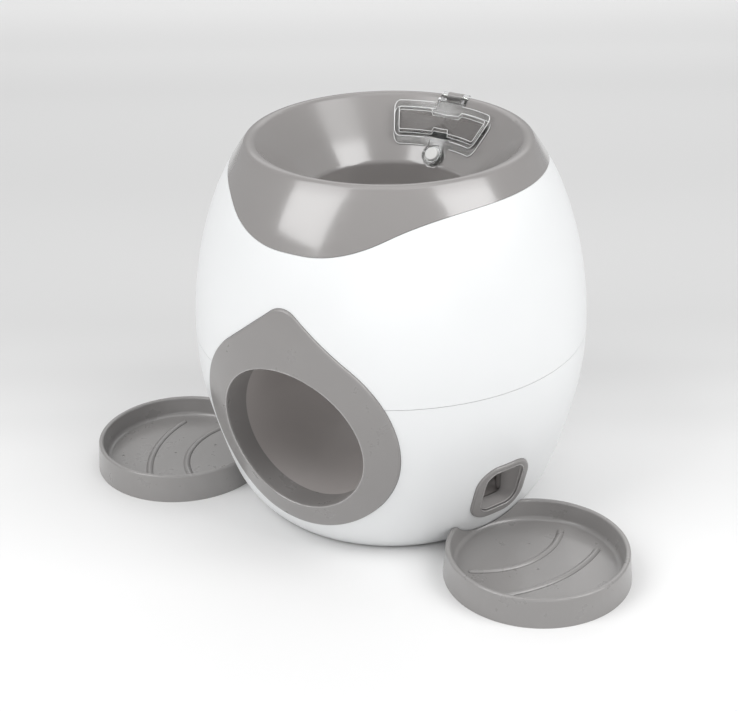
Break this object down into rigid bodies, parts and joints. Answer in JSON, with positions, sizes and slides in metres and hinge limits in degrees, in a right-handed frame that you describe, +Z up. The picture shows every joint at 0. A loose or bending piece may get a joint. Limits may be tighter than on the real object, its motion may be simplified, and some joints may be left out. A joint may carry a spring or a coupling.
{
  "type": "ball-triggered pet treat dispenser",
  "caption": "Round white dispenser with a funnel bowl on top, a wide ball port at the front, and a low round treat tray on each side fed through ports in the body.",
  "frame": {"origin": "centre of the round body on the floor", "axes": "+Z up along the body's axis, the ball port faces -Y, +X towards the right-hand tray seen from the front"},
  "size_m": [0.3812, 0.2467, 0.2395],
  "materials": {
    "white_shell": "gloss",
    "grey_moulding": "satin",
    "tunnel_grey": "satin",
    "clear_lid": "clear",
    "button_white": "satin",
    "inner_plastic": "satin",
    "gear_plastic": "satin",
    "pad_rubber": "matt",
    "steel": "bright"
  },
  "bodies": {
    "housing": {"upper_shell": "white_shell", "lower_shell": "white_shell", "base_plate": "inner_plastic", "feet": "pad_rubber", "base_screws": "steel", "bowl": "grey_moulding", "lid_hinge_pin": "steel", "hopper": "inner_plastic", "drum_housing": "inner_plastic", "drop_tube": "tunnel_grey", "ball_chute": "tunnel_grey", "port_bezel": "grey_moulding", "treat_port_bezel_left": "grey_moulding", "treat_port_bezel_right": "grey_moulding", "treat_chute_left": "inner_plastic", "treat_chute_right": "inner_plastic", "diverter_pin": "steel", "chute_screws": "steel", "hopper_screws": "steel", "paddle_spring": "steel"},
    "lid": {"treat_lid": "clear_lid", "lid_button_spring": "steel"},
    "catch_button": {"lid_button": "button_white"},
    "paddle": {"trigger_paddle": "grey_moulding", "paddle_shaft": "steel", "paddle_gear": "gear_plastic"},
    "drum": {"metering_drum": "inner_plastic", "drum_shaft": "steel", "drum_gear": "gear_plastic"},
    "flap": {"diverter_flap": "inner_plastic"},
    "tray_left": {"side_tray_left": "grey_moulding"},
    "tray_right": {"side_tray_right": "grey_moulding"}
  },
  "joints": [
    {"name": "lid_hinge", "type": "hinge", "parent": "housing", "child": "lid", "pos_m": [0, 0.0832, 0.2366], "axis": [-1, 0, 0], "range_deg": [0, 150]},
    {"name": "lid_button_press", "type": "slide", "parent": "lid", "child": "catch_button", "axis": [0, 0.7547, -0.6561], "range_m": [0, 0.0014], "stiffness_N_per_m": 300, "springref_m": -0.0006, "deforming": ["lid_button_spring"]},
    {"name": "paddle_swing", "type": "hinge", "parent": "housing", "child": "paddle", "pos_m": [0, 0.0555, 0.168], "axis": [1, 0, 0], "range_deg": [0, 47], "stiffness_Nm_per_rad": 0.012, "springref_deg": -40.11, "deforming": ["paddle_spring"]},
    {"name": "drum_turn", "type": "hinge", "parent": "housing", "child": "drum", "pos_m": [0, 0.08398, 0.12937], "axis": [1, 0, 0], "range_deg": [-120.2, 0]},
    {"name": "diverter_flip", "type": "hinge", "parent": "housing", "child": "flap", "pos_m": [0, 0.09925, 0.086], "axis": [0, 1, 0], "range_deg": [0, 56]},
    {"name": "tray_right_slide", "type": "slide", "parent": "housing", "child": "tray_right", "axis": [0.9287, -0.3708, 0], "range_m": [0, 0.045]},
    {"name": "tray_left_slide", "type": "slide", "parent": "housing", "child": "tray_left", "axis": [-0.9287, -0.3708, 0], "range_m": [0, 0.045]}
  ],
  "couplings": [
    {"joint": "drum_turn", "follows": "paddle_swing", "ratio": -2.5556}
  ]
}
